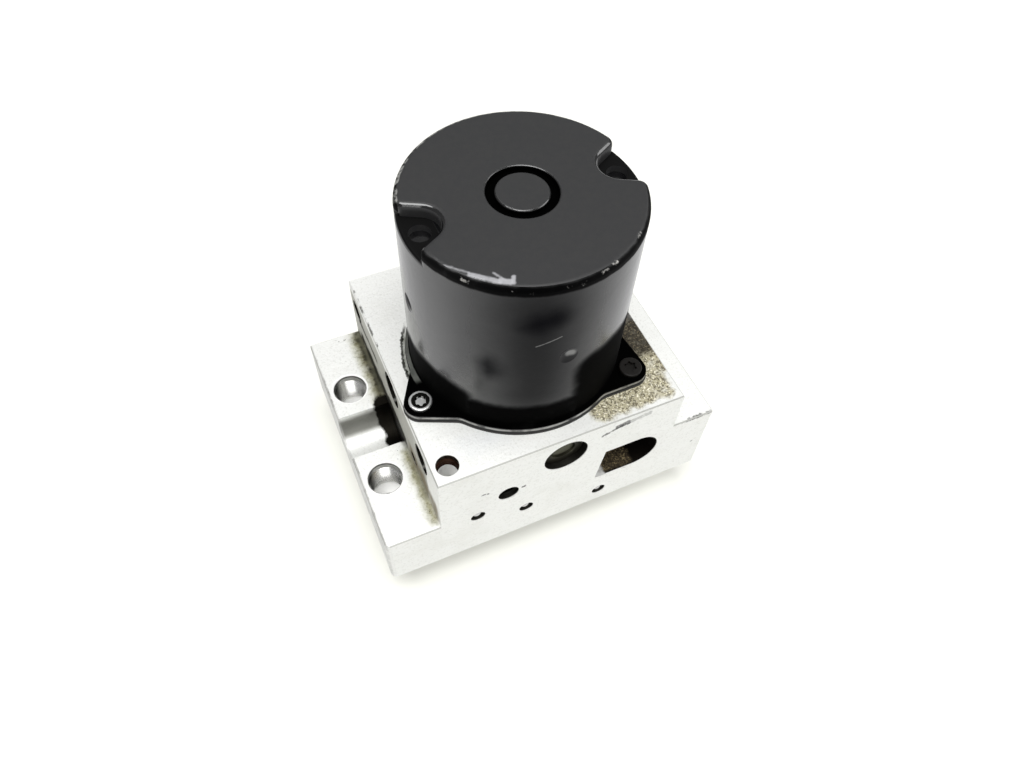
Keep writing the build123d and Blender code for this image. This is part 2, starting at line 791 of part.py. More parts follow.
def make_motor_can():
    """Deep-drawn and painted steel cup, open below, with its screw flange, pockets and stakes."""
    body = can_shell() - can_hollow()
    dent_radius = (stake_diameter**2 / 4 + stake_depth**2) / (2 * stake_depth)
    for turn in stake_turns:
        dent = Pos(can_diameter / 2 - stake_depth + dent_radius, 0, stake_height) * Sphere(dent_radius)
        body -= turn * dent
    groove_floor = can_height - ring_groove_depth
    body -= ring(2 * ring_groove_outer, 2 * ring_groove_inner, groove_floor, can_height + cut_over)
    lip = body.edges().filter_by(GeomType.CIRCLE).filter_by(
        lambda e: abs(e.center().Z - can_height) < seat_gap and e.radius < ring_groove_outer + seat_gap
    )
    body = fillet(lip, ring_groove_round)
    for line in pocket_lines:
        hole = upright(pocket_hole_diameter, pocket_floor - pocket_hole_depth, can_height, pocket_hole_circle)
        body -= Rot(0, 0, line) * hole
    return body - screw_holes()


def screw_holes():
    """Clearance holes for the motor screws, through the flange and the gasket."""
    hole = upright(screw_clearance, -cut_over, can_height, ear_circle)
    return [Rot(0, 0, angle) * hole for angle in ear_angles]


def make_gasket():
    """Thin gasket between the can's flange and the block."""
    sheet = extrude(offset(flange_outline(), gasket_margin), gasket_thickness)
    sheet -= upright(can_inside, -cut_over, can_height)
    return sheet - screw_holes()


def make_screw():
    """Star-socket screw, its shank in the block and its head on the flange ear."""
    head = upright(screw_head_diameter, flange_top, flange_top + screw_head_height)
    head = fillet(head.edges().filter_by(GeomType.CIRCLE).sort_by(Axis.Z)[-1], screw_head_round)
    lobe_at = star_across / 2 - star_lobe
    star = Circle(lobe_at)
    for lobe in range(star_points):
        star += Rot(0, 0, lobe * 360 / star_points) * Pos(lobe_at, 0) * Circle(star_lobe)
    socket_floor = flange_top + screw_head_height - star_depth
    head -= extrude(Pos(0, 0, socket_floor) * star, star_depth + cut_over)
    return head + upright(screw_diameter, -screw_depth, flange_top)


def make_magnets():
    """Ferrite segments glued round the inside of the can, between the stakes."""
    outer = can_inside / 2 - seat_gap
    pie = make_face(
        Polyline((0, 0), *[
            (2 * outer * math.cos(math.radians(a)), 2 * outer * math.sin(math.radians(a)))
            for a in (-magnet_span / 2, 0, magnet_span / 2)
        ], close=True)
    )
    sector = (Circle(outer) - Circle(outer - magnet_thickness)) & pie
    magnet = extrude(Pos(0, 0, magnet_low) * sector, magnet_height)
    return group(
        Rot(0, 0, (i + 1 / 2) * 360 / magnet_count) * magnet for i in range(magnet_count)
    )


def make_end_plate():
    """Steel plate that closes the can, carries the bearing and pilots in the block's cam bore."""
    plate = upright(can_inside - 2 * thread_gap, 0, end_plate_thickness)
    plate += upright(cam_bore_diameter - 2 * thread_gap, -pilot_height, 0)
    plate -= upright(bearing_diameter, bearing_low, end_plate_thickness + cut_over)
    plate -= upright(bearing_diameter - 2 * bearing_lip, -pilot_height - cut_over, bearing_low + cut_over)
    return plate - upright(connector_diameter, -cut_over, end_plate_thickness + cut_over, terminal_circle)


# ball bearing
bearing_low = -pilot_height + pilot_lip
bearing_high = bearing_low + bearing_width
bearing_middle = (bearing_low + bearing_high) / 2
bearing_pitch = (bearing_diameter + shaft_diameter) / 2
race_outer_bore = bearing_pitch + race_gap
race_inner_outside = bearing_pitch - race_gap


def ball_track():
    """The ring-shaped room that the balls run in."""
    section = Pos(bearing_pitch / 2, 0, 0) * Rot(90, 0, 0) * Circle(bearing_ball_diameter / 2 + slide_gap)
    return Pos(0, 0, bearing_middle) * revolve(section, Axis.Z)


keep("motor_can", on_motor * make_motor_can())
keep("motor_gasket", on_motor * make_gasket())
keep(
    "motor_screws",
    group(on_motor * Rot(0, 0, angle) * Pos(ear_circle, 0, 0) * make_screw() for angle in ear_angles),
)
keep("magnets", on_motor * make_magnets())
keep("motor_end_plate", on_motor * make_end_plate())
keep(
    "bearing_outer_race",
    on_motor * (ring(bearing_diameter, race_outer_bore, bearing_low, bearing_high) - ball_track()),
)
keep(
    "bearing_inner_race",
    on_motor * (ring(race_inner_outside, shaft_diameter, bearing_low, bearing_high) - ball_track()),
)
keep(
    "bearing_balls",
    group(
        on_motor * Rot(0, 0, i * 360 / bearing_balls_count)
        * Pos(bearing_pitch / 2, 0, bearing_middle) * Sphere(bearing_ball_diameter / 2)
        for i in range(bearing_balls_count)
    ),
)
bush_low = can_inner_top - bush_length
keep(
    "rear_bush",
    on_motor * ring(bush_diameter, shaft_diameter + 2 * slide_gap, bush_low, can_inner_top),
)

# ---------------------------------------------------------------- rotor, on the motor axis
pump_level = pump_height - block_height
journal_high = pump_level + journal_length / 2
journal_low = pump_level - journal_length / 2
core_diameter = can_inside - 2 * (seat_gap + magnet_thickness + air_gap)
core_low = commutator_low + commutator_length + rotor_gap + end_turn_height
core_high = core_low + core_stack_height
slot_at = core_diameter / 2 - slot_mouth_depth - slot_diameter / 2
off_centre = Pos(eccentric_throw, 0, 0)


def make_shaft():
    """Ground shaft with its eccentric journal turned on the lower end."""
    shaft = upright(shaft_diameter, journal_high, can_inner_top - shaft_end_gap)
    tip = shaft.edges().filter_by(GeomType.CIRCLE).sort_by(Axis.Z)[-1]
    return chamfer(tip, edge_break) + off_centre * upright(journal_diameter, journal_low, journal_high)


def make_core():
    """Stack of electrical steel sheets, with round slots open to the rim."""
    sheet = Circle(core_diameter / 2) - Circle(shaft_diameter / 2)
    for slot in range(core_slots):
        turn = Rot(0, 0, slot * 360 / core_slots)
        mouth = Pos(core_diameter / 2, 0) * Rectangle(2 * slot_mouth_depth + slot_diameter / 2, slot_mouth)
        sheet -= turn * (Pos(slot_at, 0) * Circle(slot_diameter / 2) + mouth)
    return extrude(Pos(0, 0, core_low) * sheet, core_stack_height)


def make_windings():
    """Varnished copper: a bundle in every slot, joined by the end turns above and below."""
    turns_outer = 2 * slot_at + slot_diameter
    turns_inner = turns_outer - 2 * end_turn_width
    low = core_low - end_turn_height
    high = core_high + end_turn_height
    copper = ring(turns_outer, turns_inner, low, core_low)
    copper = fillet(copper.edges().group_by(Axis.Z)[0], end_turn_round)
    upper = ring(turns_outer, turns_inner, core_high, high)
    upper = fillet(upper.edges().group_by(Axis.Z)[-1], end_turn_round)
    copper += upper
    bundle = upright(slot_diameter - 2 * seat_gap, low + end_turn_round, high - end_turn_round, slot_at)
    for slot in range(core_slots):
        copper += Rot(0, 0, slot * 360 / core_slots) * bundle
    return copper


def make_commutator():
    """Copper bars round a moulded hub, the cuts between them milled."""
    low = commutator_low
    high = commutator_low + commutator_length
    body = ring(commutator_diameter, shaft_diameter, low, high)
    for bar in range(commutator_bars):
        saw_cut = slab(
            (commutator_diameter / 2 - saw_depth, -saw_width / 2, low - cut_over),
            (commutator_diameter, saw_width / 2, high + cut_over),
        )
        body -= Rot(0, 0, (bar + 1 / 2) * 360 / commutator_bars) * saw_cut
    return body


roller_circle = (journal_diameter + roller_diameter) / 2 + slide_gap
keep("motor_shaft", on_motor * make_shaft())
keep("armature_core", on_motor * make_core())
keep("armature_windings", on_motor * make_windings())
keep("commutator", on_motor * make_commutator())
keep(
    "eccentric_rollers",
    group(
        on_motor * off_centre * Rot(0, 0, i * 360 / roller_count) * upright(
            roller_diameter, journal_low + roller_inset, journal_high - roller_inset, roller_circle
        )
        for i in range(roller_count)
    ),
)
keep(
    "eccentric_ring",
    on_motor * off_centre * ring(cam_ring_diameter, cam_ring_bore, journal_low, journal_high),
)

# ---------------------------------------------------------------- brush gear, on the motor axis
brush_sides = {"front": -90, "rear": 90}
brush_face = commutator_diameter / 2 + slide_gap
brush_back = brush_face + brush_length
box_end = brush_back + brush_wear + brush_spring_solid + 2 * spring_gap
brush_level = commutator_low + commutator_length / 2
half_brush_way = brush_width / 2 + slide_gap
half_brush_tall = brush_height / 2 + slide_gap
stem_low = -block_height + stem_short
blade_low = -block_height + blade_short


def box_slab(start, end, half_width, half_height):
    return slab((start, -half_width, brush_level - half_height), (end, half_width, brush_level + half_height))


def make_brush_holder():
    """Moulded plate with two brush boxes and the stem that carries the motor's terminals down."""
    plate_low = end_plate_thickness
    plate_high = plate_low + holder_thickness
    body = ring(can_inside - 2 * seat_gap, bearing_diameter + 2 * brush_wall, plate_low, plate_high)
    wide = half_brush_way + brush_wall
    box = box_slab(brush_face + box_setback, box_end + brush_wall, wide, half_brush_tall + brush_wall)
    foot = slab(
        (bearing_diameter / 2 + 2 * brush_wall, -wide, plate_low),
        (box_end + brush_wall, wide, brush_level - half_brush_tall),
    )
    turns = [Rot(0, 0, angle) for angle in brush_sides.values()]
    for turn in turns:
        body += turn * (box + foot)
    for turn in turns:
        body -= turn * box_slab(0, box_end, half_brush_way, half_brush_tall)
    body += upright(terminal_diameter, stem_low, plate_high, terminal_circle)
    return body - make_blades()


def make_blades():
    """Two flat tinned blades, side by side in the stem."""
    blade = slab(
        (-terminal_blade / 2, -terminal_width / 2, blade_low),
        (terminal_blade / 2, terminal_width / 2, end_plate_thickness + holder_thickness / 2),
    )
    return [Pos(terminal_circle + side * terminal_apart / 2, 0, 0) * blade for side in (-1, 1)]


def make_brush():
    """Carbon block whose face fits the commutator."""
    start = (commutator_diameter - brush_width) / 2
    block = box_slab(start, brush_back, brush_width / 2, brush_height / 2)
    return block - upright(2 * brush_face, -can_height, can_height)


def make_brush_spring():
    length = box_end - brush_back - 2 * spring_gap
    coil = coil_spring(brush_width - 2 * spring_gap, brush_spring_wire, length, brush_spring_turns)
    return Pos(brush_back + spring_gap, 0, brush_level) * Rot(0, 90, 0) * coil


keep("brush_holder", on_motor * make_brush_holder())
keep("motor_terminals", group(on_motor * blade for blade in make_blades()))
for side, angle in brush_sides.items():
    keep(f"brush_{side}", on_motor * Rot(0, 0, angle) * make_brush())
    keep(f"brush_spring_{side}", on_motor * Rot(0, 0, angle) * make_brush_spring())
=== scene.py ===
import json
import math

import bmesh
import bpy
from mathutils import Matrix, Vector


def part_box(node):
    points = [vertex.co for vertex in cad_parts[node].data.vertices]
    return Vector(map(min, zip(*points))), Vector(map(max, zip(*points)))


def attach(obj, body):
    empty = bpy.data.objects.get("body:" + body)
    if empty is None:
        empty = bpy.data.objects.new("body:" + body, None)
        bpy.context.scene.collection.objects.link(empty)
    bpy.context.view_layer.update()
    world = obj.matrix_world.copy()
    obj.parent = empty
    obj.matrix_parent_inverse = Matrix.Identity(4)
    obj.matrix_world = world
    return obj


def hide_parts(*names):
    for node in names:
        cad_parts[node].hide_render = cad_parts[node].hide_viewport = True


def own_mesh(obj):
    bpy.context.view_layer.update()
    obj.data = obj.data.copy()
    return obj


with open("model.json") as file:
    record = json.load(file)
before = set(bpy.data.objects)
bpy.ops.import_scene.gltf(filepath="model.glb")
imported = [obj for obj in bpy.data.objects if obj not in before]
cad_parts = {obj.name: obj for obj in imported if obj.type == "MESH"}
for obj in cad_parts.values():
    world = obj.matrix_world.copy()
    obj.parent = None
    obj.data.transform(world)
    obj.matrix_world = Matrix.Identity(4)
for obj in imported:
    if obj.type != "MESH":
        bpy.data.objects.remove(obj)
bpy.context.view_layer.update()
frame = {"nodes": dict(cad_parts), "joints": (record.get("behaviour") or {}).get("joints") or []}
nodes = frame["nodes"]

# ------------------------------------------------------------------ valve block
# One billet of aluminium alloy, milled on every face and drilled for the pump, the valves and the
# pipes. It has road dirt on the platform beside the motor, grease and olive grime on the step
# behind the ports, and a few handling marks on its front face.
MM = 0.001
smooth_angle = math.radians(32)
low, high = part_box("valve_block")
left_face, front_face = low[0] / MM, low[1] / MM
right_face, rear_face, platform = (reach / MM for reach in high)
left_step, right_step = 42.1, 52.2           # heights of the two steps beside the platform
left_riser, right_riser = -42.9, 45.7        # the upright faces between the platform and the steps
ports = ((-54.2, -20.4), (-54.2, 20.4))      # x, y of the pipe ports in the left step
top_fixing = (-37.3, -39.55)                 # x, y
front_fixing = (-18.2, 48.8)                 # x, z
pump_bore = (2.4, 60.6)                      # x, z
rotor_spin = next(joint for joint in frame["joints"] if joint["name"] == "rotor_spin")
motor_axis = tuple(place / MM for place in rotor_spin["pos_m"][:2])


def material(name, colour, metallic, roughness, specular=0.5):
    mat = bpy.data.materials.new(name)
    mat.use_nodes = True
    shader = mat.node_tree.nodes["Principled BSDF"]
    shader.inputs["Base Color"].default_value = (*colour, 1)
    shader.inputs["Metallic"].default_value = metallic
    shader.inputs["Roughness"].default_value = roughness
    shader.inputs["Specular IOR Level"].default_value = specular
    return mat


def finish_node(name, mat):
    obj = nodes[name]
    obj.data.materials.clear()
    obj.data.materials.append(mat)
    obj.data.shade_smooth()
    obj.data.set_sharp_from_angle(angle=smooth_angle)


def new_group(name, inputs):
    """A node group that puts out one mask: its tree, its input sockets and its output socket."""
    group = bpy.data.node_groups.new(name, "ShaderNodeTree")
    for label, kind in inputs:
        group.interface.new_socket(label, in_out="INPUT", socket_type=f"NodeSocket{kind}")
    group.interface.new_socket("Mask", in_out="OUTPUT", socket_type="NodeSocketFloat")
    given = group.nodes.new("NodeGroupInput").outputs
    return group, given, group.nodes.new("NodeGroupOutput").inputs[0]


def node(tree, kind, links=(), **settings):
    made = tree.nodes.new(kind)
    for key, value in settings.items():
        setattr(made, key, value)
    for key, value in links:
        if isinstance(value, bpy.types.NodeSocket):
            tree.links.new(value, made.inputs[key])
        else:
            made.inputs[key].default_value = value
    return made


def math_node(tree, operation, a, b, clamp=False):
    return node(tree, "ShaderNodeMath", [(0, a), (1, b)], operation=operation, use_clamp=clamp).outputs[0]


def vector_node(tree, operation, a, b=(0, 0, 0)):
    made = node(tree, "ShaderNodeVectorMath", [(0, a), (1, b)], operation=operation)
    return made.outputs["Value" if operation == "LENGTH" else "Vector"]


def turned(tree, vector, axis, angle):
    links = [("Vector", vector), ("Angle", angle)]
    return node(tree, "ShaderNodeVectorRotate", links, rotation_type=axis).outputs[0]


def remap(tree, value, low, high, to_low=0.0, to_high=1.0):
    links = [("Value", value), (1, low), (2, high), (3, to_low), (4, to_high)]
    return node(tree, "ShaderNodeMapRange", links, interpolation_type="SMOOTHSTEP").outputs[0]


def straying(tree, given):
    """How far a mask's edge strays at each point, for a group with Position, Grain and Jitter."""
    links = [("Vector", given["Position"]), ("Scale", given["Grain"]), ("Detail", 5.0)]
    grain = node(tree, "ShaderNodeTexNoise", links).outputs["Fac"]
    return math_node(tree, "MULTIPLY", math_node(tree, "SUBTRACT", grain, 0.5), given["Jitter"])


def build_box_mask():
    """A soft box with round corners, which may be turned about Z and then tilted about Y."""
    tree, given, mask = new_group("box_mask", [
        ("Position", "Vector"), ("Centre", "Vector"), ("Half size", "Vector"), ("Softness", "Float"),
        ("Jitter", "Float"), ("Grain", "Float"), ("Turn", "Float"), ("Tilt", "Float"), ("Corner", "Float"),
    ])
    away = vector_node(tree, "SUBTRACT", given["Position"], given["Centre"])
    away = turned(tree, away, "Z_AXIS", given["Turn"])
    away = turned(tree, away, "Y_AXIS", given["Tilt"])
    past = vector_node(tree, "SUBTRACT", vector_node(tree, "ABSOLUTE", away), given["Half size"])
    past = vector_node(tree, "ADD", past, given["Corner"])
    past = vector_node(tree, "LENGTH", vector_node(tree, "MAXIMUM", past))
    past = math_node(tree, "SUBTRACT", past, given["Corner"])
    past = math_node(tree, "ADD", past, straying(tree, given))
    inside = math_node(tree, "MULTIPLY", given["Softness"], -1.0)
    tree.links.new(remap(tree, past, inside, given["Softness"], 1.0, 0.0), mask)
    return tree


def build_ring_mask():
    """A soft band between two radii round an upright axis."""
    tree, given, mask = new_group("ring_mask", [
        ("Position", "Vector"), ("Axis", "Vector"), ("Inner", "Float"), ("Outer", "Float"),
        ("Softness", "Float"), ("Jitter", "Float"), ("Grain", "Float"),
    ])
    away = vector_node(tree, "SUBTRACT", given["Position"], given["Axis"])
    reach = vector_node(tree, "LENGTH", vector_node(tree, "MULTIPLY", away, (1, 1, 0)))
    reach = math_node(tree, "ADD", reach, straying(tree, given))
    starts = math_node(tree, "SUBTRACT", given["Inner"], given["Softness"])
    ends = math_node(tree, "ADD", given["Outer"], given["Softness"])
    rising = remap(tree, reach, starts, given["Inner"])
    falling = remap(tree, reach, given["Outer"], ends, 1.0, 0.0)
    tree.links.new(math_node(tree, "MULTIPLY", rising, falling, clamp=True), mask)
    return tree


def build_mottle_mask():
    """Noise cut to blotches: 0 where it is under Low and 1 where it is over High."""
    tree, given, mask = new_group("mottle_mask", [
        ("Position", "Vector"), ("Stretch", "Vector"), ("Scale", "Float"),
        ("Low", "Float"), ("High", "Float"),
    ])
    place = node(tree, "ShaderNodeMapping", [("Vector", given["Position"]), ("Scale", given["Stretch"])])
    links = [("Vector", place.outputs[0]), ("Scale", given["Scale"]), ("Detail", 6.0), ("Roughness", 0.62)]
    grain = node(tree, "ShaderNodeTexNoise", links).outputs["Fac"]
    tree.links.new(remap(tree, grain, given["Low"], given["High"]), mask)
    return tree


box_mask, ring_mask, mottle_mask = build_box_mask(), build_ring_mask(), build_mottle_mask()


class Masks:
    """Lays soft masks out in a node tree. Lengths are in millimetres and angles in degrees."""

    def __init__(self, tree, place):
        self.tree = tree
        self.place = place

    def placed(self, group, values):
        links = [("Position", self.place), *values]
        return node(self.tree, "ShaderNodeGroup", links, node_tree=group).outputs["Mask"]

    def patch(self, centre, half, soft, jitter=0.0, grain=300.0, turn=0.0, tilt=0.0, corner=None):
        return self.placed(box_mask, [
            ("Centre", [v * MM for v in centre]), ("Half size", [v * MM for v in half]),
            ("Softness", soft * MM), ("Jitter", jitter * MM), ("Grain", grain),
            ("Turn", math.radians(-turn)), ("Tilt", math.radians(tilt)),
            ("Corner", (soft if corner is None else corner) * MM),
        ])

    def rim(self, inner, outer, soft, jitter, grain, axis=motor_axis):
        return self.placed(ring_mask, [
            ("Axis", (axis[0] * MM, axis[1] * MM, 0)), ("Inner", inner * MM), ("Outer", outer * MM),
            ("Softness", soft * MM), ("Jitter", jitter * MM), ("Grain", grain),
        ])

    def noise(self, scale, low, high, stretch=(1, 1, 1)):
        values = [("Stretch", stretch), ("Scale", scale), ("Low", low), ("High", high)]
        return self.placed(mottle_mask, values)

    def times(self, a, b):
        return math_node(self.tree, "MULTIPLY", a, b, clamp=True)

    def either(self, a, b):
        return math_node(self.tree, "MAXIMUM", a, b)

    def less(self, a, b):
        return math_node(self.tree, "SUBTRACT", a, b, clamp=True)


class Paint(Masks):
    """Builds one Principled material up from its plain colour with layers of dirt and wear, and of painted
    shade, highlights and reflections.
    """

    def __init__(self, mat):
        super().__init__(mat.node_tree, mat.node_tree.nodes.new("ShaderNodeTexCoord").outputs["Object"])
        self.shader = self.tree.nodes["Principled BSDF"]
        self.colour = node(self.tree, "ShaderNodeRGB").outputs[0]
        self.colour.default_value = self.shader.inputs["Base Color"].default_value
        self.metal = self.shader.inputs["Metallic"].default_value
        self.rough = self.shader.inputs["Roughness"].default_value

    def blend(self, kind, mask, below, above):
        """A Mix node, whose sockets for each kind of value have numbers of their own."""
        first, second, mixed = {"FLOAT": (2, 3, 0), "RGBA": (6, 7, 2)}[kind]
        links = [(0, mask), (first, below), (second, above)]
        return node(self.tree, "ShaderNodeMix", links, data_type=kind).outputs[mixed]

    def layer(self, mask, colour, metal=None, rough=None, strength=1.0):
        if strength < 1.0:
            mask = self.times(mask, strength)
        self.colour = self.blend("RGBA", mask, self.colour, (*colour, 1))
        if metal is not None:
            self.metal = self.blend("FLOAT", mask, self.metal, metal)
        if rough is not None:
            self.rough = self.blend("FLOAT", mask, self.rough, rough)

    def bump(self, height, strength, distance):
        links = [("Strength", strength), ("Distance", distance), ("Height", height)]
        made = node(self.tree, "ShaderNodeBump", links)
        self.tree.links.new(made.outputs[0], self.shader.inputs["Normal"])

    def done(self):
        self.tree.links.new(self.colour, self.shader.inputs["Base Color"])
        for label, value in (("Metallic", self.metal), ("Roughness", self.rough)):
            if isinstance(value, bpy.types.NodeSocket):
                self.tree.links.new(value, self.shader.inputs[label])


# dark brown-black: grime on the riser and the step, and painted shade inside the front drillings
grime_and_shade = (0.02, 0.018, 0.012)
bore_shade = (0.04, 0.04, 0.035)
nick_grey = (0.06, 0.06, 0.05)
# white, for painted light in the ports and in the top fixing hole
lit_white = (1.0, 1.0, 0.98)
block_metal = material("block_metal", (0.88, 0.885, 0.86), 0.35, 0.5)
paint = Paint(block_metal)

# faint tooling marks, and the fine mottling of the blasted outer faces
paint.layer(paint.noise(60, 0.25, 0.75, stretch=(1, 9, 14)), (0.80, 0.81, 0.785), strength=0.35)
paint.layer(paint.noise(1300, 0.50, 0.68), (0.60, 0.60, 0.56), strength=0.42)
paint.layer(paint.noise(45, 0.48, 0.72), (0.72, 0.72, 0.67), strength=0.35)

# sandy road dirt round the right-hand ear, thickest and darkest behind the ear
sand = paint.patch((30.0, -27.0, platform), (16.4, 16.6, 1.5), 1.4, 5.0, 300)
sand = paint.less(sand, paint.patch((47.0, -43.0, platform), (3.4, 9.0, 1.5), 1.4, 2.5, 400))
dark_grit = paint.noise(1250, 0.49, 0.54)
light_grit = paint.noise(1500, 0.55, 0.60)
paint.layer(sand, (0.40, 0.355, 0.20), 0.1, 0.85, strength=0.85)
paint.layer(paint.times(sand, dark_grit), (0.055, 0.043, 0.02), 0.0, 0.9, strength=0.8)
paint.layer(paint.times(sand, light_grit), (0.95, 0.91, 0.74), 0.0, 0.8, strength=0.85)
packed = paint.patch((41.5, -11.0, platform), (5.0, 14.5, 1.5), 2.0, 4.0, 400)
paint.layer(packed, (0.022, 0.017, 0.011), 0.2, 0.9, strength=0.94)
paint.layer(paint.times(packed, light_grit), (0.24, 0.18, 0.09), 0.0, 0.9, strength=0.4)

# blue-grey stain on the platform in front of the motor
stain = paint.patch((-23.0, -35.0, platform), (9.0, 4.0, 1.0), 5.0, 8.0, 150)
paint.layer(stain, (0.70, 0.74, 0.80), strength=0.35)

# dark crust a little outside the flange's left edge, with a grey-green film inside it
beside = paint.patch((-36.5, 10.0, platform), (5.0, 14.0, 1.0), 2.0, 3.0, 400)
flange_film = paint.times(paint.rim(36.0, 38.7, 0.4, 1.0, 700), beside)
paint.layer(flange_film, (0.20, 0.21, 0.18), 0.1, 0.8)
crust = paint.times(paint.rim(38.6, 39.2, 0.3, 1.8, 900), beside)
paint.layer(crust, (0.02, 0.02, 0.015), 1.0, 0.8)

# the step along the riser's foot: an olive film that fades outwards, black in the corner itself
film = paint.patch((-44.4, 27.0, left_step), (2.8, 19.0, 1.2), 2.6, 4.0, 240)
film = paint.either(film, paint.patch((-44.0, -28.0, left_step), (1.6, 16.0, 1.2), 1.8, 3.0, 260))
paint.layer(film, (0.25, 0.23, 0.04), 0.1, 0.75, strength=0.72)
film_specks = paint.times(film, paint.noise(900, 0.51, 0.57))
paint.layer(film_specks, (0.09, 0.08, 0.015), 0.2, 0.75, strength=0.45)
foot = paint.patch((-44.2, 27.0, left_step), (2.0, 18.0, 1.2), 2.2, 5.0, 280)
paint.layer(foot, (0.055, 0.048, 0.009), 0.2, 0.75, strength=0.92)
spots = paint.patch((-48.5, 12.0, left_step), (5.0, 34.0, 1.0), 3.0)
spots = paint.times(paint.either(film, spots), paint.noise(800, 0.64, 0.68))
paint.layer(spots, (0.03, 0.03, 0.02), 1.0, 0.7, strength=0.9)
corner = paint.patch((-43.4, 30.0, left_step + 0.3), (1.3, 16.5, 1.0), 1.0, 4.0, 400)
paint.layer(corner, grime_and_shade, 1.0, 0.7, strength=0.95)

# the riser: grey-green film, black at the foot, rusty towards the front, and painted shade inside its bores
riser_film = paint.patch((left_riser, 10.0, 54.0), (1.4, 44.0, 14.0), 1.0, 2.2, 240)
paint.layer(riser_film, (0.17, 0.165, 0.11), 0.3, 0.6, strength=0.6)
riser_black = paint.patch((left_riser, 14.0, 45.6), (1.4, 26.0, 3.6), 1.2, 6.0, 170, corner=3.0)
paint.layer(riser_black, grime_and_shade, 1.0, 0.7, strength=0.95)
riser_streak = paint.patch((left_riser, 28.0, 57.0), (1.4, 11.0, 1.6), 1.2, 4.0, 200, corner=1.5)
paint.layer(riser_streak, grime_and_shade, 1.0, 0.7, strength=0.85)
riser_rust = paint.patch((left_riser, -29.0, 48.0), (1.2, 16.0, 6.0), 2.5, 9.0, 150, corner=5.0)
paint.layer(riser_rust, (0.16, 0.12, 0.05), 0.2, 0.8, strength=0.8)
# painted shade inside the riser's bores
for y, z, half in ((0.15, 62.6, 6.8), (-29.35, 62.4, 5.6), (-19.25, 46.4, 3.0), (39.55, 60.6, 4.7)):
    paint.layer(paint.patch((-39.5, y, z), (3.2, half, half), 0.1), (0.012, 0.011, 0.009), 1.0, 0.6)

# the left step's outer edge is nicked and black in places, and so is the riser's upper edge
step_edge = paint.patch((left_face + 0.1, -6.0, left_step - 0.3), (0.5, 39.0, 0.7), 0.3, 0.8, 700)
step_edge = paint.times(step_edge, paint.noise(150, 0.48, 0.60))
paint.layer(step_edge, nick_grey, 0.6, 0.7, strength=0.85)
riser_edge = paint.patch((left_riser, 27.0, platform - 0.2), (0.6, 14.0, 0.9), 0.3, 0.8, 700)
riser_edge = paint.times(riser_edge, paint.noise(260, 0.47, 0.58))
paint.layer(riser_edge, nick_grey, 0.6, 0.7, strength=0.85)

# painted shade along the groove's rear wall, and black grease fills its inner end
groove_shade = paint.patch((-53.0, 7.2, 37.0), (10.0, 2.6, 3.6), 1.4, 0.6, 200)
paint.layer(groove_shade, (0.10, 0.10, 0.08), 1.0, 0.45, strength=0.85)
grease = paint.patch((-44.6, 2.2, 38.0), (3.8, 11.4, 6.5), 0.6, 4.4, 260, corner=4.0)
grease = paint.either(grease, paint.patch((-44.2, 1.8, 38.0), (3.0, 9.4, 6.0), 0.3, 0.4, 400, corner=2.0))
paint.layer(grease, (0.010, 0.009, 0.007), 1.0, 0.5)

# the slot is filled with painted shade; sandy dirt lies on its floor, and its front left corner is painted
# light
slot_shade = paint.patch((27.6, -37.6, 44.3), (13.8, 7.95, 11.0), 0.1)
paint.layer(slot_shade, (0.012, 0.010, 0.008), 1.0, 0.7)
slot_dirt = paint.patch((24.0, -39.4, 34.4), (8.4, 5.4, 1.2), 1.2, 3.0, 500)
paint.layer(slot_dirt, (0.075, 0.055, 0.026), 0.1, 0.85, strength=0.9)
paint.layer(paint.times(slot_dirt, dark_grit), (0.03, 0.022, 0.012), 0.6, 0.9, strength=0.8)
paint.layer(paint.times(slot_dirt, light_grit), (0.42, 0.33, 0.17), 0.1, 0.85, strength=0.6)
# painted light in the slot's front left corner
lit_corner = paint.patch((16.2, -45.2, 36.0), (4.8, 3.2, 5.0), 0.7, 2.4, 350, 14)
paint.layer(paint.times(lit_corner, slot_shade), (0.74, 0.74, 0.72), 0.2, 0.5, strength=0.92)

# painted shade inside the drillings in the front face, and inside the pump bore round its cap
for x, z, half in (
    (*front_fixing, 4.0), (-29.4, 39.8, 2.9), (-10.8, 32.4, 2.9), (19.5, 23.2, 2.9), (*pump_bore, 8.3),
):
    paint.layer(paint.patch((x, -37.4, z), (half, 8.1, half), 0.1), grime_and_shade, 1.0, 0.5, strength=0.97)

# painted shade on each port's wall, darker still in a crescent and in a ring inside the chamfer; the
# chamfer and the flat seat at the bottom are painted white as painted light
for port in ports:
    x, y = port
    wall_shade = paint.patch((x, y, 35.0), (7, 7, 6.5), 0.2)
    wall_shade = paint.times(paint.rim(0.0, 6.6, 0.2, 0.0, 300, port), wall_shade)
    paint.layer(wall_shade, (0.50, 0.50, 0.48), 0.8, 0.35, strength=0.8)
    crescent = paint.patch((x - 5.6, y + 3.2, 37.0), (2.4, 3.0, 5.6), 1.2, 0.6, 600)
    paint.layer(paint.times(crescent, wall_shade), bore_shade, 1.0, 0.35, strength=0.85)
    mouth = paint.patch((x, y, left_step - 0.5), (9, 9, 0.7), 0.1)
    chamfer = paint.times(mouth, paint.rim(6.1, 6.7, 0.1, 0.1, 900, port))
    paint.layer(chamfer, lit_white, 0.0, 0.5)
    mouth_ring = paint.times(mouth, paint.rim(5.8, 6.05, 0.1, 0.1, 900, port))
    paint.layer(mouth_ring, bore_shade, 1.0, 0.5, strength=0.85)
    paint.layer(paint.patch((x, y, 27.0), (6.2, 6.2, 1.4), 0.3), lit_white, 0.0, 0.5)

